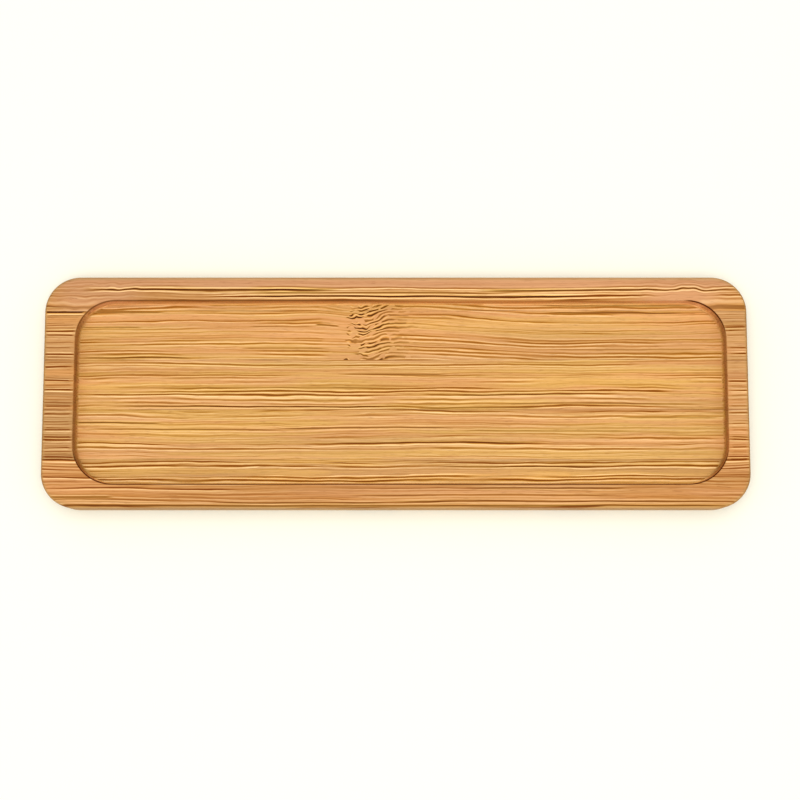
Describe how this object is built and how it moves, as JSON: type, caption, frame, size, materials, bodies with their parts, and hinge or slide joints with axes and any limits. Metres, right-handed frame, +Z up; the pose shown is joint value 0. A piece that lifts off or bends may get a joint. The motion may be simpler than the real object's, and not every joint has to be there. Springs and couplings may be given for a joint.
{
  "type": "bamboo vanity tray",
  "caption": "Shallow rectangular bamboo tray with rounded corners and a routed pocket, laminated from flat strips, for holding small things on a vanity or washstand.",
  "frame": {"origin": "centre of the base face, on the surface the tray stands on", "axes": "+X along the grain and the tray's length, towards the narrower end rim, +Y towards the back rim, +Z up"},
  "size_m": [0.3, 0.099, 0.015],
  "materials": {
    "bamboo": "sanded smooth, with a thin clear satin lacquer"
  },
  "bodies": {
    "root": {"base_strip_2": "bamboo", "base_strip_3": "bamboo", "base_strip_4": "bamboo", "base_strip_back": "bamboo", "base_strip_front": "bamboo", "core_strip_2": "bamboo", "core_strip_3": "bamboo", "core_strip_4": "bamboo", "core_strip_back": "bamboo", "core_strip_front": "bamboo", "rim_strip_2_left": "bamboo", "rim_strip_2_right": "bamboo", "rim_strip_3_left": "bamboo", "rim_strip_3_right": "bamboo", "rim_strip_4_left": "bamboo", "rim_strip_4_right": "bamboo", "rim_strip_back": "bamboo", "rim_strip_front": "bamboo"}
  },
  "joints": []
}
